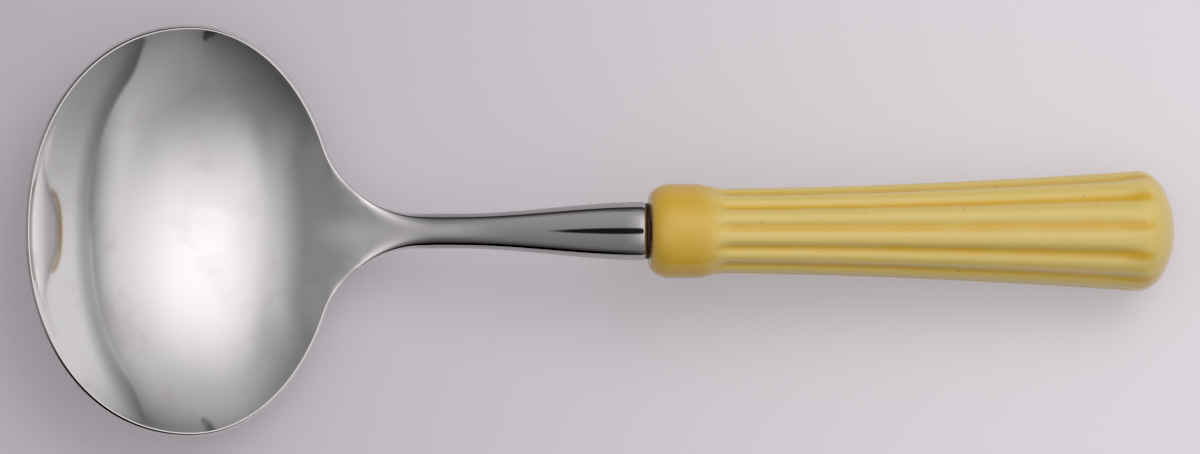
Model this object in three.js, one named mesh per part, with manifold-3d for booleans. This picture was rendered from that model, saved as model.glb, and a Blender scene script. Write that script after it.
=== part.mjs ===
// Gravy ladle: an oval bowl of polished steel on a short necked stem, with a hollow fluted
// ceramic handle cemented over a steel tang.
// Millimetres, +Z up, +X along the handle towards its butt. The ladle lies as on a table,
// on the small flat under its bowl and on the butt of its handle.
import * as THREE from 'three';
import { mergeVertices } from 'three/addons/utils/BufferGeometryUtils.js';
import Module from 'manifold-3d';

const wasm = await Module();
wasm.setup();
const { smoothstep, lerp } = THREE.MathUtils;

// Bowl, measured over its outside
const bowlFrontLength = 26.6; // from the widest line to the front lip
const bowlRearLength = 23.7; // from the widest line to the rear rim
const bowlWidth = 66.2;
const bowlWall = 1.2;
const frontLipHeight = 16.5;
const rearRimHeight = 8.5; // the rim is level when the handle is held up, so it lies low here
const frontFullness = 2.1; // exponent of the front outline: 2 is an ellipse, more is squarer
const bowlCurve = 1.75; // exponent of the wall's rise from the flat to the rim
const restFlatWidth = 14.5; // flat under the bowl, across the ladle
const restFlatShift = 3.3; // middle of that flat behind the bowl's widest line
const rimCrown = 0.3; // how far the rounded rim stands up between its two edges

// Neck and bolster, lengths taken from the rear rim
const neckWidth = 5.6;
const neckThickness = 4.8;
const neckRootThickness = 2.8;
const neckRootDrop = 0.5; // neck axis below the outer edge of the rear rim
const neckRootSlope = 0.44; // straight rise from the rear rim to the weld
const neckRootFullness = 3.5; // exponent of the root's section: 2 is an ellipse, more is squarer
const rootFillet = 15.5; // plan radius between the neck's side and the rim
const weldDistance = 16.5; // rear rim to the butt weld
const flareDistance = 19.5; // rear rim to the start of the bolster's flare
const stemLength = 49.1; // rear rim to the bolster's end face
const bolsterRise = 9.3; // handle axis above the rear rim, at the bolster's end
const bolsterWidth = 9.4;
const bolsterThickness = 6.4;
const bolsterChamfer = 0.35;

// Tang, a round rod brazed into the bolster
const tangDiameter = 3.2;
const tangEmbedment = 52; // length beyond the bolster's end face
const tangChamfer = 0.5;
const socketDepth = 7;
const keyGrooveCount = 4;
const keyGrooveWidth = 2.2;
const keyGrooveDepth = 0.45;
const keyGrooveMargin = 8; // plain rod left before the first groove and after the last

// Adhesive ring between the bolster and the handle
const glueThickness = 0.5;
const glueRecess = 0.1; // edge of the ring inside the edge of the bolster's end face

// Handle, lengths taken from its mouth
const handleLength = 84.6;
const collarDiameter = 15.2;
const collarLength = 9.5; // mouth to the middle of the step down to the waist
const collarStep = 7; // length of that step
const collarRound = 3.6; // length of the rounded front corner
const collarRoundDepth = 2.2; // depth of the rounded front corner
const waistDiameter = 13.8;
const buttDiameter = 19.5;
const buttDome = 6; // length of the domed end
const bodyTaper = 1.6; // exponent of the swell from the waist to the butt
const fluteCount = 12;
const fluteDepth = 0.8;
const fluteTurn = 5.5; // degrees from the crown to the nearest valley
const fluteStart = 10;
const fluteRunIn = 5;
const fluteRunOut = 9;
const fluteOverrun = 2.4; // how far the flutes run on into the domed end
const handleWall = 2.6;
const mouthCement = 0.5; // thickness of the cement round the tang in the mouth
const mouthLength = 6;
const throatLength = 5; // widening from the mouth to the full hollow

// Clearances
const seatGap = 0.05; // flat faces that seat on each other
const brazeGap = 0.25; // tang in its socket, all round
const cementGap = 0.25; // cement core against the tang and the handle

// Facets, and halvings in a search for a fit
const halvings = 40;
const bowlSides = 64;
const bowlRings = 9;
const neckSides = 32;
const rootSteps = 12;
const stemSteps = 14;
const handleSides = 6 * fluteCount;
const rodSides = 24;
const coreSides = 36;

// Named places along the ladle, from the bowl's widest line
const rearX = bowlRearLength;
const weldX = rearX + weldDistance;
const flareX = rearX + flareDistance;
const bolsterX = rearX + stemLength;
const bolsterZ = rearRimHeight + bolsterRise;

const steel = (color, roughness) => new THREE.MeshStandardMaterial({ color, roughness, metalness: 1 });
const polishedSteel = steel(0xc9c9cc, 0.12);
const rodSteel = steel(0xa5a6a8, 0.4);
const glaze = new THREE.MeshStandardMaterial({ color: 0xc8a258, roughness: 0.18, metalness: 0 });
const cement = new THREE.MeshStandardMaterial({ color: 0xb9b2a4, roughness: 0.9, metalness: 0 });
const adhesive = new THREE.MeshStandardMaterial({ color: 0x2a1411, roughness: 0.5, metalness: 0 });

function part(name, geometry, material) {
  const mesh = new THREE.Mesh(geometry, material);
  mesh.name = name;
  return mesh;
}

// Turns a closed geometry into a solid that can be joined and cut. Triangles that shrank to
// a line at a pole are dropped.
function solid(geometry) {
  const bare = geometry.clone();
  bare.deleteAttribute('normal');
  bare.deleteAttribute('uv');
  const merged = mergeVertices(bare);
  const corners = merged.index.array;
  const triangles = [];
  for (let i = 0; i < corners.length; i += 3) {
    const [a, b, c] = corners.slice(i, i + 3);
    if (a !== b && b !== c && c !== a) triangles.push(a, b, c);
  }
  return new wasm.Manifold(new wasm.Mesh({
    numProp: 3,
    vertProperties: new Float32Array(merged.attributes.position.array),
    triVerts: new Uint32Array(triangles),
  }));
}

function solidGeometry(body) {
  const mesh = body.getMesh();
  const geometry = new THREE.BufferGeometry();
  geometry.setAttribute('position', new THREE.BufferAttribute(mesh.vertProperties, 3));
  geometry.setIndex(new THREE.BufferAttribute(mesh.triVerts, 1));
  geometry.computeVertexNormals();
  return geometry;
}

// Moves every vertex of a geometry to the place that a function gives for it.
function reshape(geometry, place) {
  const position = geometry.attributes.position;
  const vertex = new THREE.Vector3();
  for (let i = 0; i < position.count; i += 1) {
    vertex.fromBufferAttribute(position, i);
    position.setXYZ(i, ...place(vertex, i).toArray());
  }
  geometry.computeVertexNormals();
  return geometry;
}

const flatShare = restFlatWidth / bowlWidth;

// The rim lies in a plane that rises from the rear to the front lip.
function rimHeight(x) {
  return lerp(rearRimHeight, frontLipHeight, (rearX - x) / (rearX + bowlFrontLength));
}

// Outside of the bowl. Share runs from 0 at the middle of the flat to 1 at the rim, and angle 0
// points to the handle.
function bowlOutside(share, angle) {
  const along = Math.cos(angle);
  const across = Math.sin(angle);
  const front = along < 0;
  const power = 2 / (front ? frontFullness : 2);
  const halfLength = front ? bowlFrontLength : bowlRearLength;
  const rimX = Math.sign(along) * Math.abs(along) ** power * halfLength;
  const rimY = Math.sign(across) * Math.abs(across) ** power * bowlWidth / 2;
  const rise = Math.max(0, (share - flatShare) / (1 - flatShare)) ** bowlCurve;
  return new THREE.Vector3(lerp(restFlatShift, rimX, share), share * rimY, rise * rimHeight(rimX));
}

// A point of the bowl's wall, at a depth measured square to its outside, and raised along the
// wall by a lift, which rounds the rim.
function bowlWallPoint(share, angle, depth, lift) {
  const step = 1e-3;
  const here = bowlOutside(share, angle);
  if (share < step) return here.setZ(depth);
  const outward = bowlOutside(share + step, angle).sub(bowlOutside(share - step, angle)).normalize();
  const around = bowlOutside(share, angle + step).sub(bowlOutside(share, angle - step)).normalize();
  const inward = outward.clone().cross(around).normalize();
  return here.addScaledVector(inward, depth).addScaledVector(outward, lift);
}

// A bowl surface spun from rows of (share, depth, lift), listed from its bottom, over the
// rim, and back to its axis.
function bowlSpin(rows) {
  const profile = rows.map((row, i) => new THREE.Vector2(row.share, i));
  const spun = new THREE.LatheGeometry(profile, bowlSides);
  return reshape(spun, (vertex, i) => {
    const row = rows[i % rows.length];
    const angle = 2 * Math.PI * Math.floor(i / rows.length) / bowlSides;
    const point = bowlWallPoint(row.share, angle, row.depth, row.lift);
    point.z += row.raise ?? 0;
    return point;
  });
}

// Shares of the bowl's rows: its centre, the edge of the flat, then even steps to the rim.
const wallShares = [0];
for (let i = 0; i <= bowlRings; i += 1) wallShares.push(lerp(flatShare, 1, i / bowlRings));

function bowlDish() {
  const outside = wallShares.map((share) => ({ share, depth: 0, lift: 0 }));
  const crown = { share: 1, depth: bowlWall / 2, lift: rimCrown };
  const inside = wallShares.map((share) => ({ share, depth: bowlWall, lift: 0 })).reverse();
  return solid(bowlSpin([...outside, crown, ...inside]));
}

// The room inside the bowl, carried on well above its rim and a little into its wall.
function bowlRoom() {
  const bite = bowlWall / 3;
  const headroom = frontLipHeight;
  const floor = wallShares.map((share) => ({ share, depth: bowlWall - bite, lift: 0 }));
  const lid = { share: 1, depth: bowlWall - bite, lift: 0, raise: headroom };
  const top = { share: 0, depth: 2 * headroom, lift: 0 };
  return solid(bowlSpin([...floor, lid, top]));
}

// Height of the neck's axis: along the rim to its rear, straight up to the weld, then a cubic
// that bends over to the bolster.
function neckHeight(x, endSlope) {
  if (x < rearX) return rimHeight(x) - neckRootDrop;
  const rootZ = rearRimHeight - neckRootDrop;
  if (x < weldX) return rootZ + neckRootSlope * (x - rearX);
  const weldZ = rootZ + neckRootSlope * weldDistance;
  const run = bolsterX - weldX;
  const t = (x - weldX) / run;
  const fromEnd = 1 - t;
  return weldZ * (1 + 2 * t) * fromEnd ** 2 + neckRootSlope * run * t * fromEnd ** 2
    + bolsterZ * t ** 2 * (3 - 2 * t) - endSlope * run * t ** 2 * fromEnd;
}

// The fillet's arc runs from the neck's side to the rim and touches both, so its centre lies
// where the nearest point of the rim is one fillet radius away.
function placeFillet() {
  const rimSteps = 400;
  const rim = Array.from({ length: rimSteps }, (_, i) => bowlOutside(1, Math.PI / 2 * i / rimSteps));
  const centre = new THREE.Vector2(0, neckWidth / 2 + rootFillet);
  const nearer = (a, b) => (centre.distanceTo(a) < centre.distanceTo(b) ? a : b);
  const touch = () => rim.reduce(nearer);
  let near = 0;
  let far = rearX + 2 * rootFillet;
  for (let i = 0; i < halvings; i += 1) {
    centre.x = (near + far) / 2;
    if (centre.distanceTo(touch()) > rootFillet) far = centre.x;
    else near = centre.x;
  }
  return { endX: centre.x, touchX: touch().x };
}

const fillet = placeFillet();

function neckHalfWidth(x) {
  const sweep = Math.max(0, fillet.endX - Math.max(x, fillet.touchX));
  const spread = rootFillet - Math.sqrt(rootFillet ** 2 - sweep ** 2);
  const flare = (bolsterWidth - neckWidth) / 2 * smoothstep(x, flareX, bolsterX);
  return neckWidth / 2 + spread + flare;
}

function neckHalfThickness(x) {
  const swell = (neckThickness - neckRootThickness) / 2 * smoothstep(x, rearX, fillet.endX);
  const flare = (bolsterThickness - neckThickness) / 2 * smoothstep(x, flareX, bolsterX);
  return neckRootThickness / 2 + swell + flare;
}

// A bar along the neck's axis through the given stations. Its sections go from a flat bar with
// rounded edges at the root to an ellipse, and lean from upright at the weld to square to the
// handle at the bolster. An inset draws a section in.
function neckBar(stations, tilt) {
  const steps = stations.length - 1;
  const bar = new THREE.CylinderGeometry(1, 1, 1, neckSides, steps);
  return reshape(bar, (vertex) => {
    const { x, inset } = stations[Math.round((vertex.y + 0.5) * steps)];
    const lean = tilt * smoothstep(x, weldX, bolsterX);
    const power = 2 / lerp(neckRootFullness, 2, smoothstep(x, rearX, weldX));
    const up = Math.sign(vertex.z) * Math.abs(vertex.z) ** power * (neckHalfThickness(x) - inset);
    const side = -Math.sign(vertex.x) * Math.abs(vertex.x) ** power * (neckHalfWidth(x) - inset);
    return new THREE.Vector3(
      x + up * Math.sin(lean), side, neckHeight(x, -Math.tan(tilt)) + up * Math.cos(lean));
  });
}

function evenStations(fromX, toX, steps) {
  return Array.from({ length: steps + 1 }, (_, i) => ({ x: lerp(fromX, toX, i / steps), inset: 0 }));
}

// Bowl with its neck root, up to the butt weld.
function bowlGeometry(tilt) {
  const rootStartX = fillet.touchX - 3 * bowlWall;
  const root = solid(neckBar(evenStations(rootStartX, weldX, rootSteps), tilt));
  return solidGeometry(bowlDish().add(root.subtract(bowlRoom())));
}

// Round pieces are spun from (radius, length) points, with the length along +X.
function spun(points, sides) {
  const profile = points.map(([radius, length]) => new THREE.Vector2(radius, length));
  return new THREE.LatheGeometry(profile, sides).rotateZ(-Math.PI / 2);
}

// Neck and bolster, with the blind socket for the tang in its end face.
function stemGeometry(tilt, toHandle) {
  const stations = evenStations(weldX, bolsterX - bolsterChamfer, stemSteps);
  stations.push({ x: bolsterX, inset: bolsterChamfer });
  const radius = tangDiameter / 2 + brazeGap;
  const socketRun = [[0, -socketDepth], [radius, -socketDepth], [radius, socketDepth], [0, socketDepth]];
  const socket = spun(socketRun, rodSides).applyMatrix4(toHandle);
  return solidGeometry(solid(neckBar(stations, tilt)).subtract(solid(socket)));
}

// Lengths below are taken along the handle's axis from the bolster's end face.
const mouthAt = glueThickness + 2 * seatGap;

function tangGeometry() {
  const radius = tangDiameter / 2;
  const foot = brazeGap - socketDepth;
  const points = [[0, foot], [radius - tangChamfer, foot], [radius, foot + tangChamfer]];
  const grooveSpan = tangEmbedment - 2 * keyGrooveMargin - keyGrooveWidth;
  for (let i = 0; i < keyGrooveCount; i += 1) {
    const at = keyGrooveMargin + grooveSpan * i / (keyGrooveCount - 1);
    const floor = radius - keyGrooveDepth;
    points.push([radius, at], [floor, at + keyGrooveDepth]);
    points.push([floor, at + keyGrooveWidth - keyGrooveDepth], [radius, at + keyGrooveWidth]);
  }
  const tip = tangEmbedment - tangChamfer;
  points.push([radius, tip], [radius - tangChamfer, tangEmbedment], [0, tangEmbedment]);
  return spun(points, rodSides);
}

function glueRingGeometry() {
  const inset = bolsterChamfer + glueRecess;
  const outline = new THREE.Shape();
  outline.absellipse(0, 0, bolsterThickness / 2 - inset, bolsterWidth / 2 - inset, 0, 2 * Math.PI);
  const hole = new THREE.Path();
  hole.absarc(0, 0, tangDiameter / 2 + cementGap, 0, 2 * Math.PI);
  outline.holes.push(hole);
  const ring = new THREE.ExtrudeGeometry(outline, {
    depth: glueThickness, bevelEnabled: false, curveSegments: rodSides / 2,
  });
  return ring.rotateY(Math.PI / 2).translate(seatGap, 0, 0);
}

const bodyStart = collarLength + collarStep / 2;
const domeStart = handleLength - buttDome;

// Radius of the handle's outside, over the ribs, between the collar's corner and the dome.
function bodyRadius(length) {
  const swell = Math.max(0, (length - bodyStart) / (domeStart - bodyStart)) ** bodyTaper;
  const body = lerp(waistDiameter, buttDiameter, swell) / 2;
  const stepShare = smoothstep(length, collarLength - collarStep / 2, bodyStart);
  return body + (collarDiameter - waistDiameter) / 2 * (1 - stepShare);
}

function fluteShare(length) {
  const end = domeStart + fluteOverrun;
  const runIn = smoothstep(length, fluteStart, fluteStart + fluteRunIn);
  return runIn * (1 - smoothstep(length, end - fluteRunOut, end));
}

// Radius of the hollow inside the handle: the mouth's bore, then the throat, then an even wall
// under the flutes' valleys.
function hollowRadius(length) {
  const mouth = tangDiameter / 2 + mouthCement + 2 * cementGap;
  const room = Math.max(mouth, bodyRadius(length) - fluteDepth - handleWall);
  return lerp(mouth, room, smoothstep(length, mouthLength, mouthLength + throatLength));
}

const hollowEnd = domeStart - handleWall;
const hollowStations = [0, mouthLength, mouthLength + throatLength / 2, mouthLength + throatLength,
  (mouthLength + throatLength + hollowEnd) / 2, hollowEnd];

// Outside of the handle from its mouth to the end of its dome, as (radius, length) points.
function handleOutside() {
  const cornerSteps = 4;
  const stepSteps = 5;
  const bodySteps = 9;
  const domeSteps = 6;
  const points = [];
  for (let i = 0; i <= cornerSteps; i += 1) {
    const turn = Math.PI / 2 * i / cornerSteps;
    const cut = collarRoundDepth * (1 - Math.sin(turn));
    points.push([collarDiameter / 2 - cut, collarRound * (1 - Math.cos(turn))]);
  }
  const stepStart = collarLength - collarStep / 2;
  for (let i = 0; i <= stepSteps; i += 1) {
    const length = lerp(stepStart, bodyStart, i / stepSteps);
    points.push([bodyRadius(length), length]);
  }
  for (let i = 1; i < bodySteps; i += 1) {
    const length = lerp(bodyStart, domeStart, i / bodySteps);
    points.push([bodyRadius(length), length]);
  }
  for (let i = 0; i < domeSteps; i += 1) {
    const turn = Math.PI / 2 * i / domeSteps;
    points.push([buttDiameter / 2 * Math.cos(turn), domeStart + buttDome * Math.sin(turn)]);
  }
  points.push([0, handleLength]);
  return points;
}

// Hollow handle: the hollow from its blind end to the mouth, then the fluted outside.
function handleGeometry() {
  const hollow = hollowStations.map((length) => [hollowRadius(length), length]).reverse();
  const inside = [[0, hollowEnd], ...hollow];
  const points = [...inside, ...handleOutside()].map(([radius, length]) => [radius, mouthAt + length]);
  const lathe = spun(points, handleSides);
  const turn = THREE.MathUtils.degToRad(fluteTurn);
  return reshape(lathe, (vertex, i) => {
    if (i % points.length < inside.length) return vertex;
    const angle = Math.atan2(vertex.y, vertex.z) - turn;
    const valley = (1 + Math.cos(fluteCount * angle)) / 2;
    const depth = fluteDepth * fluteShare(vertex.x - mouthAt) * valley;
    const outward = new THREE.Vector3(0, vertex.y, vertex.z).normalize();
    return vertex.addScaledVector(outward, -depth);
  });
}

// Cement core: fills the hollow around the tang, open at the mouth.
function cementGeometry() {
  const boreRadius = tangDiameter / 2 + cementGap;
  const boreEnd = tangEmbedment + cementGap;
  const outside = hollowStations.map((length) => [hollowRadius(length) - cementGap, mouthAt + length]);
  outside[outside.length - 1][1] -= cementGap;
  const end = outside[outside.length - 1][1];
  const bore = [[0, boreEnd], [boreRadius, boreEnd], [boreRadius, mouthAt]];
  return spun([...bore, ...outside, [0, end]], coreSides);
}

// Downward tilt of the handle's axis that brings its lowest point to the table.
function restTilt(handle) {
  const position = handle.attributes.position;
  const lowest = (tilt) => {
    let low = Infinity;
    for (let i = 0; i < position.count; i += 1) {
      const drop = position.getX(i) * Math.sin(tilt) - position.getZ(i) * Math.cos(tilt);
      low = Math.min(low, bolsterZ - drop);
    }
    return low;
  };
  let above = 0;
  let below = Math.PI / 4;
  for (let i = 0; i < halvings; i += 1) {
    const middle = (above + below) / 2;
    if (lowest(middle) > 0) above = middle;
    else below = middle;
  }
  return above;
}

const handleShape = handleGeometry();
const tilt = restTilt(handleShape);

// Everything on the handle's axis sits in one group, turned about the bolster's end.
const handleAxis = new THREE.Group();
handleAxis.position.set(bolsterX, 0, bolsterZ);
handleAxis.rotation.y = tilt;
handleAxis.updateMatrix();
handleAxis.add(
  part('tang', tangGeometry(), rodSteel),
  part('glue_ring', glueRingGeometry(), adhesive),
  part('cement_core', cementGeometry(), cement),
  part('handle', handleShape, glaze),
);

const assembly = new THREE.Group();
assembly.add(
  part('bowl', bowlGeometry(tilt), polishedSteel),
  part('stem', stemGeometry(tilt, handleAxis.matrix), polishedSteel),
  handleAxis,
);

// The ladle's origin is the middle of its footprint, on the table.
const box = new THREE.Box3().setFromObject(assembly, true);
assembly.position.set(-(box.min.x + box.max.x) / 2, -(box.min.y + box.max.y) / 2, -box.min.z);

const ladle = new THREE.Group();
ladle.add(assembly);

export default ladle;
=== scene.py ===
import math
from functools import lru_cache

import bmesh
import bpy
from bl_math import lerp, smoothstep
from mathutils import Matrix, Vector


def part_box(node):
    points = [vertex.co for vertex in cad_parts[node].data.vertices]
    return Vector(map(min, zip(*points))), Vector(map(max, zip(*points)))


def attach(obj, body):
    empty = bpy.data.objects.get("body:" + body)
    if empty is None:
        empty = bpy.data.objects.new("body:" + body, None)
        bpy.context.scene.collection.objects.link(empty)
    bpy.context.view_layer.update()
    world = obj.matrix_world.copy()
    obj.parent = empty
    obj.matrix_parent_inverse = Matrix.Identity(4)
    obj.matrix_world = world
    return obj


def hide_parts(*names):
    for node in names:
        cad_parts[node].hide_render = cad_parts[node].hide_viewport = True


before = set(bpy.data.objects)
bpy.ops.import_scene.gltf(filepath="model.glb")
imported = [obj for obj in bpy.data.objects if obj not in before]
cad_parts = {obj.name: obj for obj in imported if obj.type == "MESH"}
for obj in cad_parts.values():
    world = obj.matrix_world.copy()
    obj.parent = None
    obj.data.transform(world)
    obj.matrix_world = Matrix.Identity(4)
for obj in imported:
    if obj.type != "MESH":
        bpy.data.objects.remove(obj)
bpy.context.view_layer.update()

# Bowl: one pressing of stainless sheet, ground thinner along its rim and mirror polished. The root
# of the neck is drawn out of its rear wall, and the stem is butt-welded to that root.
# Lengths along the ladle are taken from the bowl's widest line, towards the handle.
mm = 0.001
front_length = 26.6 * mm
rear_length = 23.7 * mm
front_fullness = 2.1  # exponent of the front outline: 2 is an ellipse, more is squarer
sheet = 1.2 * mm
lip_height = 15.9 * mm  # at the rim's outer edge, as is the next one
rear_height = 7.8 * mm
rim_sheet = 1.0 * mm
rim_swell = 0.2 * mm
rim_rounding = 0.45  # exponent of the rim's section: 1 is round, less is squarer
rim_tuck = 0.12 * mm  # keeps the rim within the bowl's size
rear_lean = math.radians(37)  # the wall's lean at the rim
front_lean = math.radians(49)
flat_share = 14.5 / 66.2  # width of the flat underneath, as a share of the bowl's
flat_middle = Vector((3.3 * mm, 0))
outside_curve = 1.75  # exponent of the outside's rise from the flat
front_steepening = 0.1  # how much the inside steepens towards the rim
rear_steepening = 0.0
turn_over = 18.5 * mm  # where the rear wall starts to turn over into the neck
latest_turn = 0.85  # share of the way to an edge by which it has started
bowl_low, bowl_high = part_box("bowl")
half_width = bowl_high.y
wide_x = bowl_low.x + front_length

# Neck, measured as the bowl is, from its root by the rim to the bolster's end face
neck_half = 2.8 * mm
neck_half_thick = 2.0 * mm
root_half_thick = 1.6 * mm
root_slope = 0.38
root_fullness = 3.5  # exponent of the root's section: 2 is an ellipse
root_bulge = 1.2 * mm  # how much nearer the handle the middle of a root's section lies
root_dish = 1.3 * mm  # how far the root's middle lies below its edges
dish_drop = 0.45  # share of the dish that lowers the middle, while the rest raises the edges
touch_angle = math.radians(24.2)  # place on the rim where the fillet's arc meets it
corner_turn = math.radians(36)  # place on the fillet's arc where the root starts
weld_x = rear_length + 16.5 * mm
flare_x = rear_length + 19.5 * mm
bolster_half = 4.7 * mm
bolster_half_thick = 3.2 * mm
ring_half = 0.3 * mm  # half the glue ring and its seat, between bolster and handle

# Axis of the handle, through the middles of the glue ring and of the tang
ring_middle = sum(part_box("glue_ring"), Vector()) / 2
tang_middle = sum(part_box("tang"), Vector()) / 2
axis = (tang_middle - ring_middle).normalized()
bolster_end = ring_middle - axis * ring_half
bolster_x = bolster_end.x - wide_x
tilt = math.asin(-axis.z)

# Counts for the mesh: rays go round half of the bowl, rings go out from its middle
root_rays = 12
fillet_rays = 12
rim_rays = 84
last_ray = root_rays + fillet_rays + rim_rays
rim_steps = 8
inside_rings = 48
outside_rings = 30
ring_steps = 4 * root_rays + 2 * rim_steps
section_edge = math.radians(30)  # half the turn that a side of the neck's section takes

# The fillet's circle touches the rim at one place and the neck's side at another.
touch = Vector((rear_length * math.cos(touch_angle), half_width * math.sin(touch_angle)))
touch_normal = Vector((touch.x / rear_length ** 2, touch.y / half_width ** 2)).normalized()
fillet = (touch.y - neck_half) / (1 - touch_normal.y)
fillet_x = touch.x + fillet * touch_normal.x
touch_turn = math.acos(touch_normal.y)
root_x = fillet_x - fillet * math.sin(corner_turn)


def power(value, exponent):
    return math.copysign(abs(value) ** exponent, value)


def towards_lip(x):
    return (rear_length - x) / (rear_length + front_length)


def rim_height(x):
    return lerp(rear_height, lip_height, towards_lip(x))


def rim_lean(x):
    return lerp(rear_lean, front_lean, towards_lip(x))


def hermite(t, start, end, start_slope, end_slope):
    """Cubic from start to end over t from 0 to 1, with the two slopes taken over the same run."""
    far = 1 - t
    ends = start * (1 + 2 * t) * far ** 2 + end * t ** 2 * (3 - 2 * t)
    return ends + start_slope * t * far ** 2 - end_slope * t ** 2 * far


def neck_height(x):
    if x < rear_length:
        return rim_height(x)
    if x < weld_x:
        return rear_height + root_slope * (x - rear_length)
    weld = rear_height + root_slope * (weld_x - rear_length)
    run = bolster_x - weld_x
    end_slope = -math.tan(tilt) * run
    return hermite((x - weld_x) / run, weld, bolster_end.z, root_slope * run, end_slope)


def neck_half_width(x):
    sweep = max(0, fillet_x - max(x, touch.x))
    spread = fillet - math.sqrt(fillet ** 2 - sweep ** 2)
    return neck_half + spread + (bolster_half - neck_half) * smoothstep(flare_x, bolster_x, x)


def neck_half_thickness(x):
    swell = (neck_half_thick - root_half_thick) * smoothstep(rear_length, fillet_x, x)
    flare = (bolster_half_thick - neck_half_thick) * smoothstep(flare_x, bolster_x, x)
    return root_half_thick + swell + flare


def neck_point(x, step, inset=0):
    """Point of the neck's skin. Steps go round the section from its left edge over the top, with
    even widths across the top and the underside. The root's sections bulge towards the handle."""
    exponent = 2 / lerp(root_fullness, 2, smoothstep(rear_length, weld_x, x))
    edge = math.cos(section_edge)
    far_side, under, back = 2 * root_rays, 2 * root_rays + rim_steps, ring_steps - rim_steps
    rounding = 2 * section_edge / rim_steps
    if step <= far_side:
        turn = math.acos(edge * power(1 - step / root_rays, 1 / exponent))
    elif step <= under:
        turn = math.pi - section_edge + rounding * (step - far_side)
    elif step <= back:
        turn = -math.acos(edge * power((step - under) / root_rays - 1, 1 / exponent))
    else:
        turn = -section_edge + rounding * (step - back)
    across = power(math.cos(turn), exponent)
    flat = max(0, 1 - (across / edge ** exponent) ** 2)
    centre_x = x + root_bulge * flat * (1 - smoothstep(root_x, weld_x, x))
    up = power(math.sin(turn), exponent) * (neck_half_thickness(centre_x) - inset)
    lean = tilt * smoothstep(weld_x, bolster_x, x)
    side = across * (neck_half_width(x) - inset)
    easing = (max(0, weld_x - x) / (weld_x - root_x)) ** 2
    dish = root_dish * (across ** 2 - dish_drop) * easing
    height = neck_height(centre_x) + dish + up * math.cos(lean)
    return Vector((centre_x + up * math.sin(lean), side, height))


@lru_cache(maxsize=None)
def rim_point(ray, row):
    """Point of the rim, from its inner edge at row 0 to its outer edge. Rays go round half
    of the bowl: over the neck's root, along the fillet, then along the rim to the front lip."""
    along_fillet = (ray - root_rays) / fillet_rays
    if along_fillet <= 1:
        turn = lerp(corner_turn, touch_turn, along_fillet)
        normal = Vector((math.sin(turn), math.cos(turn), 0))
        x = fillet_x - fillet * normal.x
        y = neck_half + fillet * (1 - normal.y)
    else:
        angle = lerp(touch_angle, math.pi, (ray - root_rays - fillet_rays) / rim_rays)
        front = math.cos(angle) < 0
        fullness = front_fullness if front else 2
        length = front_length if front else rear_length
        x = length * power(math.cos(angle), 2 / fullness)
        y = half_width * power(math.sin(angle), 2 / fullness)
        slope_x = power(x / length, fullness - 1) / length
        slope_y = power(y / half_width, fullness - 1) / half_width
        normal = Vector((slope_x, slope_y, 0)).normalized()
    upright = Vector((0, 0, 1))
    lean = rim_lean(x)
    inward = upright * math.cos(lean) - normal * math.sin(lean)
    outward = upright * math.sin(lean) + normal * math.cos(lean)
    swing = math.pi * row / rim_steps
    rim = Vector((x, y, rim_height(x))) - normal * rim_tuck
    rim += inward * (rim_sheet / 2 * (1 + power(math.cos(swing), rim_rounding)))
    rim += outward * (rim_swell * power(math.sin(swing), rim_rounding))
    return rim.lerp(neck_point(x, ring_steps - row), neckness(ray)) if along_fillet < 1 else rim


def neckness(ray):
    """How far a ray belongs to the neck: 1 at its root, 0 along the rim."""
    return 1 - smoothstep(root_rays, root_rays + fillet_rays, ray)


def slope_at_root(step):
    near, far = neck_point(root_x, step), neck_point(root_x + 0.2 * mm, step)
    return (far.z - near.z) / (far.x - near.x)


top_slope = slope_at_root(root_rays)
under_slope = slope_at_root(3 * root_rays + rim_steps)


def rear_rim(heading):
    """Distance from the middle of the flat to the rear rim, along a heading."""
    square = (heading.x / rear_length) ** 2 + (heading.y / half_width) ** 2
    shift = flat_middle.x * heading.x / rear_length ** 2
    rest = 1 - (flat_middle.x / rear_length) ** 2
    return (math.sqrt(shift ** 2 + square * rest) - shift) / square


def inside_rise(radius, reach, edge_x, height):
    share = radius / reach
    steepening = lerp(rear_steepening, front_steepening, towards_lip(edge_x))
    return sheet + (height - sheet) * share ** 2 * (1 + steepening * (share ** 2 - 1))


def outside_rise(radius, reach, edge_x, height):
    return height * max(0, (radius / reach - flat_share) / (1 - flat_share)) ** outside_curve


def wall_height(ray, edge, radius, inside):
    """Height of a wall along a ray from the middle of the flat to an edge. Most rays end at the rim.
    Those to the neck's root and its fillets rise as if to the rim, then turn over to the neck."""
    rise = inside_rise if inside else outside_rise
    out = edge.xy - flat_middle
    reach = out.length
    if ray > root_rays + fillet_rays:
        return rise(radius, reach, edge.x, edge.z)
    heading = out / reach
    rim_reach = rear_rim(heading)
    rim_x, rim_y = flat_middle + rim_reach * heading
    normal = Vector((rim_x / rear_length ** 2, rim_y / half_width ** 2)).normalized()
    rim_z = rim_height(rim_x)
    inset = rim_tuck
    if inside:
        inset += rim_sheet * math.sin(rim_lean(rim_x))
        rim_z += rim_sheet * math.cos(rim_lean(rim_x))
    rim_reach -= inset / normal.dot(heading)
    turning = min((turn_over - flat_middle.x) / heading.x, latest_turn * reach)
    if radius <= turning:
        return rise(radius, rim_reach, rim_x, rim_z)
    run = reach - turning
    start = rise(turning, rim_reach, rim_x, rim_z)
    step = 0.01 * mm
    start_slope = (rise(turning + step, rim_reach, rim_x, rim_z) - start) / step
    even_slope = 2 * (edge.z - start) / run - start_slope
    neck_slope = (top_slope if inside else under_slope) * heading.x
    end_slope = lerp(even_slope, neck_slope, neckness(ray))
    return hermite((radius - turning) / run, start, edge.z, start_slope * run, end_slope * run)


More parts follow.
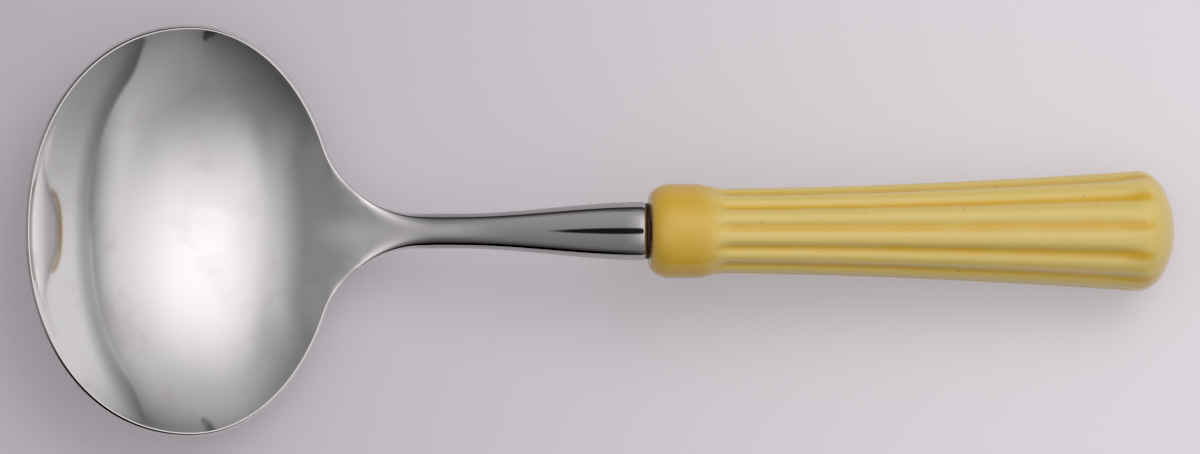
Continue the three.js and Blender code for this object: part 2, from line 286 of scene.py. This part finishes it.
def wall_point(ray, share, inside):
    if ray < root_rays:
        edge = neck_point(root_x, root_rays - ray if inside else 3 * root_rays + rim_steps + ray)
    else:
        edge = rim_point(ray, 0 if inside else rim_steps)
    place = flat_middle.lerp(edge.xy, share)
    height = wall_height(ray, edge, (place - flat_middle).length, inside)
    return Vector((*place, height))


def skin(mesh, columns, rows, place):
    """Adds a sheet of quads to a mesh, with each corner where place(column, row) puts it."""
    for corner in bmesh.ops.create_grid(mesh, x_segments=columns, y_segments=rows, size=1)["verts"]:
        column = round((corner.co.x + 1) / 2 * columns)
        row = round((corner.co.y + 1) / 2 * rows)
        corner.co = place(column, row)


def on_side(point, side):
    return Vector((wide_x + point.x, side * point.y, point.z))


def wall(column, share, inside):
    side = 1 if column >= last_ray else -1
    return on_side(wall_point(abs(column - last_ray), share, inside), side)


def inside_wall(column, row):
    return wall(column, row / inside_rings, True)


def outside_wall(column, row):
    return wall(column, row / outside_rings, False)


def rim(column, row):
    half = last_ray - root_rays
    side = 1 if column <= half else -1
    return on_side(rim_point(last_ray - abs(column - half), row), side)


# Rows of the neck's root up to the weld, with the last two set close so that the polish runs on
beside_weld = 0.05 * mm
root_steps = 22
root_rows = [lerp(root_x, weld_x - beside_weld, i / root_steps) for i in range(root_steps + 1)]
root_rows.append(weld_x)


def neck_root(step, row):
    return on_side(neck_point(root_rows[row], step), 1)


def closed(mesh):
    """Joins a mesh's sheets, closes its open ends with flat faces, and shades the rest smooth."""
    bmesh.ops.remove_doubles(mesh, verts=mesh.verts, dist=mm / 1000)
    for face in mesh.faces:
        face.smooth = True
    openings = [edge for edge in mesh.edges if edge.is_boundary]
    bmesh.ops.holes_fill(mesh, edges=openings, sides=0)
    for edge in openings:
        edge.smooth = False
    bmesh.ops.recalc_face_normals(mesh, faces=mesh.faces)
    return mesh


def piece(name, mesh, material):
    """Makes an object of a mesh. The ladle has one body, which every piece rides on."""
    data = bpy.data.meshes.new(name)
    mesh.to_mesh(data)
    mesh.free()
    data.materials.append(material)
    made = bpy.data.objects.new(name, data)
    bpy.context.scene.collection.objects.link(made)
    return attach(made, "root")


class Tone:
    """A shader socket that takes part in sums: an expression on tones adds its Math nodes."""

    def __init__(self, socket):
        self.socket = socket

    def node(self, kind, settings=None, inputs=None, output=0):
        """Adds any node to the same tree, with its settings first and then its inputs."""
        tree = self.socket.id_data
        node = tree.nodes.new(kind)
        for name, setting in (settings or {}).items():
            setattr(node, name, setting)
        for name, value in (inputs or {}).items():
            if isinstance(value, Tone):
                tree.links.new(value.socket, node.inputs[name])
            else:
                node.inputs[name].default_value = value
        return Tone(node.outputs[output]) if node.outputs else None

    def math(self, operation, first, second=0.0):
        return self.node("ShaderNodeMath", {"operation": operation}, {0: first, 1: second})

    def __add__(self, other):
        return self.math("ADD", self, other)

    def __sub__(self, other):
        return self.math("SUBTRACT", self, other)

    def __rsub__(self, other):
        return self.math("SUBTRACT", other, self)

    def __mul__(self, other):
        return self.math("MULTIPLY", self, other)

    def __pow__(self, other):
        return self.math("POWER", self, other)

    __radd__ = __add__
    __rmul__ = __mul__

    def fade(self, low, high):
        """Rises smoothly from 0 at low to 1 at high."""
        limits = {"Value": self, "From Min": low, "From Max": high}
        return self.node("ShaderNodeMapRange", {"interpolation_type": "SMOOTHSTEP"}, limits)

    def noise(self, scale, detail=2.0, roughness=0.5):
        """Soft noise from 0 to 1, on a tone that holds coordinates."""
        inputs = {"Vector": self, "Scale": scale, "Detail": detail, "Roughness": roughness}
        return self.node("ShaderNodeTexNoise", None, inputs)

    def between(self, first, second):
        """Mixes two colours, by a tone that goes from 0 to 1."""
        return self.node("ShaderNodeMix", {"data_type": "RGBA"}, {0: self, 6: first, 7: second}, 2)

    def bump(self, height, normal=None):
        """Surface normals for a tone that goes from 0 to 1 over a height."""
        inputs = {"Height": self, "Distance": height}
        if normal:
            inputs["Normal"] = normal
        return self.node("ShaderNodeBump", None, inputs)

    def placed(self, matrix):
        """Coordinates seen from a place, given as a matrix, with its own directions."""
        inverse = matrix.inverted()
        inputs = {"Vector": self, "Location": inverse.translation, "Rotation": inverse.to_euler()}
        return self.node("ShaderNodeMapping", None, inputs)

    def stretched(self, scale):
        """Coordinates with a scale of their own in each direction."""
        return self.node("ShaderNodeMapping", None, {"Vector": self, "Scale": scale})

    def parts(self):
        """The three parts of a tone that holds coordinates."""
        split = self.node("ShaderNodeSeparateXYZ", None, {0: self}).socket.node
        return [Tone(part) for part in split.outputs]


def srgb(red, green, blue):
    """A colour as a screen shows it, from 0 to 255, in the shader's linear light."""
    parts = [part / 255 for part in (red, green, blue)]
    return (*[((p + 0.055) / 1.055) ** 2.4 if p > 0.04 else p / 12.92 for p in parts], 1)


def object_coordinates(material):
    """Empties a new material and gives its object's coordinates, in metres, as a tone."""
    material.use_nodes = True
    material.node_tree.nodes.clear()
    start = material.node_tree.nodes.new("ShaderNodeTexCoord")
    return Tone(start.outputs["Object"])


def principled(coordinates, inputs):
    shader = coordinates.node("ShaderNodeBsdfPrincipled", None, inputs)
    coordinates.node("ShaderNodeOutputMaterial", None, {"Surface": shader})


def mirror_polish():
    """Buffed stainless steel: a faint unevenness, fine wheel marks and a few smudges. Its colour holds
    a painted reflection, lightest at the neck's root, and painted shade that darkens it from there to
    the bolster."""
    material = bpy.data.materials.new("mirror_polished_steel")
    where = object_coordinates(material)
    uneven = where.noise(70, 1)
    wheel_marks = where.stretched((1, 9, 9)).noise(900, 3)
    smudges = where.noise(110, 4, 0.6).fade(0.5, 0.75)
    normal = wheel_marks.bump(0.0004 * mm, uneven.bump(0.012 * mm))
    in_bowl = smudges.between(srgb(225, 221, 222), srgb(215, 210, 211))
    along = where.parts()[0] - wide_x
    # Painted reflection and shade: the steel's colour is raised at the neck's root and lowered along
    # the neck and stem, for the brighter and darker surroundings that the mirror polish shows there.
    painted_root_reflection = along.fade(root_x - 5 * mm, root_x + 3 * mm).between(in_bowl, srgb(245, 240, 241))
    painted_neck_shade = along.fade(root_x + 1 * mm, weld_x - 1 * mm).between(painted_root_reflection, srgb(184, 180, 181))
    principled(where, {
        "Base Color": painted_neck_shade,
        "Metallic": 1.0,
        "Roughness": 0.04 + 0.05 * smudges + 0.04 * wheel_marks,
        "Normal": normal,
    })
    return material


steel = mirror_polish()
bowl_mesh = bmesh.new()
skin(bowl_mesh, 2 * last_ray, inside_rings, inside_wall)
skin(bowl_mesh, 2 * last_ray, outside_rings, outside_wall)
skin(bowl_mesh, 2 * (last_ray - root_rays), rim_steps, rim)
skin(bowl_mesh, ring_steps, len(root_rows) - 1, neck_root)
bowl = piece("pressed_bowl", closed(bowl_mesh), steel)
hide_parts("bowl")

# Stem: a forged steel neck that swells to an oval bolster with a small polished lip. It is
# welded to the bowl, and its end face has a blind socket for the tang.
lip = 0.8 * mm
lip_drop = 0.3 * mm
lip_steps = 6
stem_steps = 50
socket_radius = 1.85 * mm
socket_depth = 7 * mm
stem_rows = [(weld_x, 0)]
for i in range(stem_steps + 1):
    stem_rows.append((lerp(weld_x + beside_weld, bolster_x - lip, i / stem_steps), 0))
for i in range(1, lip_steps + 1):
    turn = math.pi / 2 * i / lip_steps
    stem_rows.append((bolster_x - lip * (1 - math.sin(turn)), lip_drop * (1 - math.cos(turn))))
socket_rows = [(socket_radius, 0), (socket_radius, socket_depth), (0, socket_depth)]
handle_frame = Matrix.Translation(bolster_end) @ Matrix.Rotation(tilt, 4, "Y")


def stem_point(step, row):
    if row < len(stem_rows):
        x, inset = stem_rows[row]
        return on_side(neck_point(x, step, inset), 1)
    radius, depth = socket_rows[row - len(stem_rows)]
    turn = 2 * math.pi * step / ring_steps
    return handle_frame @ Vector((-depth, radius * math.cos(turn), radius * math.sin(turn)))


stem_mesh = bmesh.new()
skin(stem_mesh, ring_steps, len(stem_rows) + len(socket_rows) - 1, stem_point)
stem = piece("forged_stem", closed(stem_mesh), steel)
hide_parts("stem")

# Tang: a drawn steel rod brazed into the bolster, with turned grooves that key it in the
# cement. It is left as drawn, with fine lines along it and a dull oxide in places.


def drawn_rod():
    material = bpy.data.materials.new("drawn_rod_steel")
    where = object_coordinates(material)
    along = where.placed(handle_frame)
    lines = along.stretched((0.04, 1, 1)).noise(5000, 2)
    oxide = along.noise(260, 4, 0.65).fade(0.45, 0.75)
    principled(where, {
        "Base Color": oxide.between(srgb(205, 206, 208), srgb(150, 146, 142)),
        "Metallic": 1.0,
        "Roughness": 0.28 + 0.2 * oxide + 0.12 * lines,
        "Normal": lines.bump(0.004 * mm),
    })
    return material


def refinish(node, material):
    """Gives a solid that keeps its shape a finish of its own."""
    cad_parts[node].data.materials.clear()
    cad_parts[node].data.materials.append(material)


refinish("tang", drawn_rod())

# Glue bead: dark red-brown adhesive squeezed out between the bolster and the handle's mouth,
# almost as wide as the bolster, with a rounded edge.
bead_start = 0.05 * mm
bead_width = 0.5 * mm
bead_inner = 2.8 * mm
bead_inset = 0.2 * mm  # from the bolster's outline
bead_half = bolster_half - bead_inset
bead_half_thick = bolster_half_thick - bead_inset
bead_round_steps = 6
bead_sides = 96


def spun(mesh, outline, sides):
    """Spins an outline of (length, radius) points about the handle's axis."""
    corners = [mesh.verts.new((length, 0, radius)) for length, radius in outline]
    edges = [mesh.edges.new(pair) for pair in zip(corners, corners[1:])]
    bmesh.ops.spin(
        mesh, geom=corners + edges, axis=(1, 0, 0), cent=(0, 0, 0), angle=2 * math.pi,
        steps=sides, use_merge=True)


def cured_adhesive():
    material = bpy.data.materials.new("cured_adhesive")
    where = object_coordinates(material)
    cloud = where.noise(700, 3)
    principled(where, {
        "Base Color": cloud.between(srgb(16, 9, 9), srgb(74, 26, 20)),
        "Roughness": 0.3 + 0.3 * cloud,
        "Normal": where.noise(1800, 2).bump(0.03 * mm),
    })
    return material


bead_outline = [(bead_start, bead_inner)]
for i in range(bead_round_steps + 1):
    turn = math.pi * i / bead_round_steps
    bead_outline.append((
        bead_start + bead_width / 2 * (1 - math.cos(turn)),
        bead_half - bead_width / 2 * (1 - math.sin(turn))))
bead_outline += [(bead_start + bead_width, bead_inner), bead_outline[0]]
bead_mesh = bmesh.new()
spun(bead_mesh, bead_outline, bead_sides)
flatten = Matrix.Scale(bead_half_thick / bead_half, 4, (0, 0, 1))
bmesh.ops.transform(bead_mesh, matrix=handle_frame @ flatten, verts=bead_mesh.verts)
bead = piece("glue_bead", closed(bead_mesh), cured_adhesive())
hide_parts("glue_ring")

# Cement core: the pale gritty filler that was poured into the handle round the tang. It is
# all inside the handle.


def poured_cement():
    material = bpy.data.materials.new("poured_cement")
    where = object_coordinates(material)
    grit = where.noise(1500, 4, 0.7)
    stains = where.noise(160, 3)
    principled(where, {
        "Base Color": (0.6 * stains + 0.4 * grit).between(srgb(196, 190, 176), srgb(222, 218, 206)),
        "Roughness": 0.82 + 0.12 * grit,
        "Normal": grit.bump(0.12 * mm),
    })
    return material


refinish("cement_core", poured_cement())

# Handle: slip-cast stoneware, hollow, with a smooth rounded collar, twelve soft flutes and a
# domed butt. A clear yellow glaze lies thin on the ribs and pools amber in the valleys.
handle_length = 84.6 * mm
mouth_at = 0.6 * mm
collar_radius = 7.6 * mm
collar_length = 9.5 * mm
collar_step = 4.5 * mm
collar_round = 3.6 * mm
collar_round_depth = 2.2 * mm
waist_radius = 6.9 * mm
butt_radius = 9.75 * mm
butt_dome = 6 * mm
body_taper = 1.6
flutes = 12
flute_depth = 0.55 * mm
flute_turn = math.radians(5.5)
flute_start = 9 * mm
flute_run_in = 4 * mm
flute_run_out = 6.5 * mm
flute_overrun = 2.4 * mm
flute_width = 1.5  # exponent that narrows the valleys
handle_wall = 2.6 * mm
mouth_radius = 2.6 * mm
mouth_length = 6 * mm
throat_length = 5 * mm
glaze_relief = 0.06 * mm  # keeps the smooth surface within the faceted solid
body_start = collar_length + collar_step / 2
dome_start = handle_length - butt_dome
flute_end = dome_start + flute_overrun
sides_per_flute = 16
handle_sides = sides_per_flute * flutes
mouth_frame = handle_frame @ Matrix.Translation((mouth_at, 0, 0))


def body_radius(length):
    swell = max(0, (length - body_start) / (dome_start - body_start)) ** body_taper
    collar = 1 - smoothstep(collar_length - collar_step / 2, body_start, length)
    return lerp(waist_radius, butt_radius, swell) + (collar_radius - waist_radius) * collar


def hollow_radius(length):
    room = max(mouth_radius, body_radius(length) - flute_depth - handle_wall)
    return lerp(mouth_radius, room, smoothstep(mouth_length, mouth_length + throat_length, length))


def glazed_yellow():
    """The pattern follows the flutes, by angle round the axis and length from the mouth. The glaze is
    thick in the valleys, on the collar and where it pools at the butt, and has a few pits."""
    material = bpy.data.materials.new("yellow_glaze")
    where = object_coordinates(material)
    placed = where.placed(mouth_frame)
    along, across, up = placed.parts()
    angle = along.math("ARCTAN2", across, up)
    wave = along.math("COSINE", (angle - flute_turn) * flutes)
    fluted = along.fade(flute_start, flute_start + flute_run_in)
    fluted = fluted * (1 - along.fade(flute_end - flute_run_out / 2, flute_end + 2 * mm))
    wander = placed.noise(160, 3)
    valley = (0.5 + 0.5 * wave) ** 2.2 * fluted
    collar = 1 - along.fade(collar_length - 2 * mm, collar_length + 3 * mm)
    pool = along.fade(flute_end - 8 * mm, flute_end - 2 * mm) * valley
    thick = 0.75 * valley + 0.3 * pool + 0.76 * collar + 0.4 * (wander - 0.5)
    colour = thick.fade(0.05, 0.95).between(srgb(212, 186, 107), srgb(205, 163, 46))
    specks = placed.node("ShaderNodeTexVoronoi", None, {"Vector": placed, "Scale": 240.0})
    pits = 1 - specks.fade(0.03, 0.07)
    colour = (0.35 * pits).between(colour, srgb(130, 96, 40))
    orange_peel = placed.noise(420, 2)
    normal = (orange_peel - 0.6 * pits).bump(0.02 * mm)
    principled(where, {
        "Base Color": colour,
        "Roughness": 0.16 + 0.08 * wander,
        "Coat Weight": 0.15,
        "Coat Roughness": 0.08,
        "Normal": normal,
    })
    return material


corner_steps = 14
body_steps = 130
dome_steps = 24
handle_outline = []
for i in range(corner_steps):
    turn = math.pi / 2 * i / corner_steps
    handle_outline.append((
        collar_round * (1 - math.cos(turn)),
        collar_radius - collar_round_depth * (1 - math.sin(turn))))
for i in range(body_steps):
    length = lerp(collar_round, dome_start, i / body_steps)
    handle_outline.append((length, body_radius(length)))
for i in range(dome_steps + 1):
    turn = math.pi / 2 * i / dome_steps
    dome_end = (butt_dome - glaze_relief) * math.sin(turn)
    handle_outline.append((dome_start + dome_end, butt_radius * math.cos(turn)))

handle_mesh = bmesh.new()
spun(handle_mesh, handle_outline, handle_sides)
for corner in handle_mesh.verts:
    length, across, up = corner.co
    runs = smoothstep(flute_start, flute_start + flute_run_in, length)
    runs *= 1 - smoothstep(flute_end - flute_run_out, flute_end, length)
    wave = math.cos(flutes * (math.atan2(across, up) - flute_turn))
    depth = flute_depth * runs * (0.5 + 0.5 * wave) ** flute_width + glaze_relief
    radius = math.hypot(across, up)
    shrink = max(0, radius - depth) / radius if radius > depth else 0
    corner.co = length, across * shrink, up * shrink

hollow_end = dome_start - handle_wall
hollow_steps = 40
hollow_outline = [(0, handle_outline[0][1] - glaze_relief)]
for i in range(hollow_steps + 1):
    length = lerp(0, hollow_end, i / hollow_steps)
    hollow_outline.append((length, hollow_radius(length)))
hollow_outline.append((hollow_end, 0))
spun(handle_mesh, hollow_outline, handle_sides)
bmesh.ops.transform(handle_mesh, matrix=mouth_frame, verts=handle_mesh.verts)
handle = piece("glazed_handle", closed(handle_mesh), glazed_yellow())
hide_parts("handle")

# Table: a wide sheet of pale lilac-grey card just under the ladle. Its colour has painted light: it
# grows brighter towards the handle's end, where the lamps fall more. To the camera and in reflections,
# part of its look is an even tone.
table_radius = 3.0
table_sides = 96
table_drop = 0.05 * mm
even_share = 0.35
table_mesh = bmesh.new()
bmesh.ops.create_circle(table_mesh, cap_ends=True, segments=table_sides, radius=table_radius)
bmesh.ops.translate(table_mesh, vec=(0, 0, -table_drop), verts=table_mesh.verts)
table_data = bpy.data.meshes.new("table")
table_mesh.to_mesh(table_data)
table_mesh.free()
table = bpy.data.objects.new("table", table_data)
bpy.context.scene.collection.objects.link(table)
card = bpy.data.materials.new("pale_card")
on_table = object_coordinates(card)
lengthwise = on_table.parts()[0]
fibres = on_table.noise(2500, 3)
# Painted light: the card's colour grows brighter towards the handle's end, with a faint unevenness
# from its fibres.
fibres_and_painted_light = lengthwise.fade(-130 * mm, 110 * mm) + 0.06 * (fibres - 0.5)
card_colour = fibres_and_painted_light.between(srgb(183, 177, 183), srgb(225, 220, 226))
sheet_of_card = on_table.node("ShaderNodeBsdfPrincipled", None, {
    "Base Color": card_colour,
    "Roughness": 0.7,
    "Normal": fibres.bump(0.01 * mm),
})
ray_kinds = on_table.node("ShaderNodeLightPath").socket.node.outputs
seen = Tone(ray_kinds["Is Camera Ray"]) + Tone(ray_kinds["Is Glossy Ray"])
seen = seen.math("MAXIMUM", seen, Tone(ray_kinds["Is Transmission Ray"]))
evenly_lit = on_table.node("ShaderNodeEmission", None, {"Color": card_colour, "Strength": 0.96})
mixed = {0: even_share * seen, 1: sheet_of_card, 2: evenly_lit}
shown = on_table.node("ShaderNodeMixShader", None, mixed)
on_table.node("ShaderNodeOutputMaterial", None, {"Surface": shown})
table_data.materials.append(card)

# Light: a soft tent, lighter at its two ends and towards +Y, with a darker gap under its hem, and with
# two stands and the camera dark against it. A wide panel overhead is made in two halves. Only the
# near half is kept off the stem, which shows the camera, and a key lamp isn't seen in reflections.
world = bpy.data.worlds.new("soft_studio")
bpy.context.scene.world = world
world.use_nodes = True
world.node_tree.nodes.clear()
direction = Tone(world.node_tree.nodes.new("ShaderNodeTexCoord").outputs["Generated"])
east, north, height = direction.parts()
shaded_side = (-0.95 * east - 0.3 * north).fade(-0.1, 0.8)
near_side = east.fade(-0.1, 0.3) * (1 - north.fade(-0.85, -0.25))
far_end = east.fade(0.5, 0.95)
in_line = 1 - (north ** 2).fade(0.07, 0.4)
behind = shaded_side * in_line
tent = 0.54 + 0.21 * north + 0.25 * east.fade(0.0, 0.7) + 0.38 * far_end
tent = tent + 0.45 * in_line * (-1 * east).fade(0.42, 0.75)
low = 0.1 - 0.2 * near_side + 0.1 * far_end + 0.37 * behind
high = 0.6 - 0.1 * near_side + 0.04 * far_end + 0.28 * shaded_side - 0.03 * behind
raised = height.fade(low, high)
wall_light = shaded_side * (0.1 + 0.15 * north) + 0.26 * behind
tent = raised * tent + (1 - raised) * wall_light
lamp_side = east.fade(0.3, 0.9) * (0.27 + 0.4 * north.fade(-0.6, 0.15))
gap = 0.06 * (1 - shaded_side) + wall_light + lamp_side * (1.4 - 0.65 * height.fade(0.2, 0.32))
sideways = (north ** 2).fade(0.5, 0.9)
hem = 0.34 - 0.16 * sideways - 0.25 * shaded_side
in_tent = height.fade(hem, hem + 0.025)
hem_line = in_tent * (1 - height.fade(hem + 0.02, hem + 0.05))
hem_line = hem_line * east.fade(0.5, 0.9) * north.fade(-0.1, 0.1)

# Two stands, one on each side of the bowl, with an uneven outline
stand_east = 0.03
stand_height = 0.375
stand_half_width = 0.05
stand_half_height = 0.03
wobble = direction.noise(14, 2) - 0.5
beside_stand = (east - stand_east + 0.2 * wobble) * (1 / stand_half_width)
above_stand = (height - stand_height + 0.1 * wobble) * (1 / stand_half_height)
stand = (1 - (beside_stand ** 2 + above_stand ** 2).fade(0.4, 1.3)) * sideways

lens_along = 0.05
lens_half_length = 0.34
lens_half_width = 0.15


def camera_shade(along, across):
    """Shape of the camera overhead, where along and across are 1 for each unit of height."""
    beside_lens = (along - lens_along) * (1 / lens_half_length)
    return 1 - (beside_lens ** 2 + (across * (1 / lens_half_width)) ** 2).fade(0.65, 1.35)


overhead = height.fade(0.5, 0.6)
upward = height.math("MAXIMUM", height, 0.5) ** -1
lens = overhead * camera_shade(east * upward, north * upward)
glow = in_tent * tent * (1 - 0.96 * lens) + (1 - in_tent) * gap + 0.3 * hem_line
glow = glow * (1 - 0.85 * stand)
background = direction.node("ShaderNodeBackground", None, {"Strength": glow})
direction.node("ShaderNodeOutputWorld", None, {"Surface": background})


def soft_lamp(name, place, radius, brightness):
    """A round lamp that faces down, with a brightness that is 1 for white."""
    data = bpy.data.lights.new(name, "AREA")
    data.shape = "DISK"
    data.size = 2 * radius
    data.energy = 4 * math.pi * radius ** 2 * brightness
    lamp = bpy.data.objects.new(name, data)
    lamp.location = place
    lamp.visible_camera = False
    bpy.context.scene.collection.objects.link(lamp)
    return lamp


panel_radius = 3.6
panel_middle = Vector((0.03, 0.48, 2.6))
panel_brightness = 0.66
halves_apart = 4 * mm  # a lamp hides another that hangs at the same height
spill_middle = Vector((-1.6, -1.1))
spill_radius = 1.6
spill_share = 0.17  # brightness of a second, smaller patch of the panel
lens_fill = 0.56  # about as bright as the tent is overhead
bowl_middle = sum(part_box("bowl"), Vector()) / 2
stem_middle = sum(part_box("stem"), Vector()) / 2


def half_panel(name, far_half):
    """One half of the panel, as a lamp. The far half hangs over the handle's end, and leaves out the
    camera as the stem sees it. The near half is the rest, and fills in the camera for the bowl."""
    lift = Vector((0, 0, halves_apart)) if far_half else Vector()
    lamp = soft_lamp(name, panel_middle + lift, panel_radius, panel_brightness)
    lamp.data.use_nodes = True
    lamp.data.node_tree.nodes.clear()
    where = Tone(lamp.data.node_tree.nodes.new("ShaderNodeNewGeometry").outputs["Position"])
    x, y = where.parts()[:2]

    def patch(middle, radius):
        return 1 - (((x - middle.x) ** 2 + (y - middle.y) ** 2) ** 0.5).fade(0.0, radius)

    def shade_from(middle):
        return camera_shade((x - middle.x) * (1 / panel_middle.z), y * (1 / panel_middle.z))

    spread = patch(panel_middle, panel_radius) + spill_share * patch(spill_middle, spill_radius)
    spread = spread * x.fade(-2.6, -1.4)
    share = x.fade(0.2, 0.7) * (1 - shade_from(stem_middle))
    if far_half:
        strength = spread * share
    else:
        strength = spread * (1 - share) + lens_fill * shade_from(bowl_middle)
    emission = where.node("ShaderNodeEmission", None, {"Strength": strength})
    where.node("ShaderNodeOutputLight", None, {"Surface": emission})
    return lamp


half_panel("far_panel", True)
near_panel = half_panel("near_panel", False)
unlit = bpy.data.collections.new("kept_from_near_panel")
unlit.objects.link(stem)
unlit.collection_objects[0].light_linking.link_state = "EXCLUDE"
near_panel.light_linking.receiver_collection = unlit

key = soft_lamp("key", place=(1.2, 1.5, 2.4), radius=1.0, brightness=2.5)
key.visible_glossy = False

# Camera: straight above, far off with a long lens, so that it sees hardly any perspective. Its
# frame is a little wider than the ladle, which lies just below the middle.
camera_height = 2.4
view_width = 192 * mm
view_plane = 15 * mm
view_middle = 0.64 * mm
camera_data = bpy.data.cameras.new("camera")
camera_data.sensor_width = 36
camera_data.lens = camera_data.sensor_width * (camera_height - view_plane) / view_width
camera = bpy.data.objects.new("camera", camera_data)
camera.location = (0, view_middle, camera_height)
bpy.context.scene.collection.objects.link(camera)
bpy.context.scene.camera = camera
bpy.context.scene.view_settings.view_transform = "Standard"
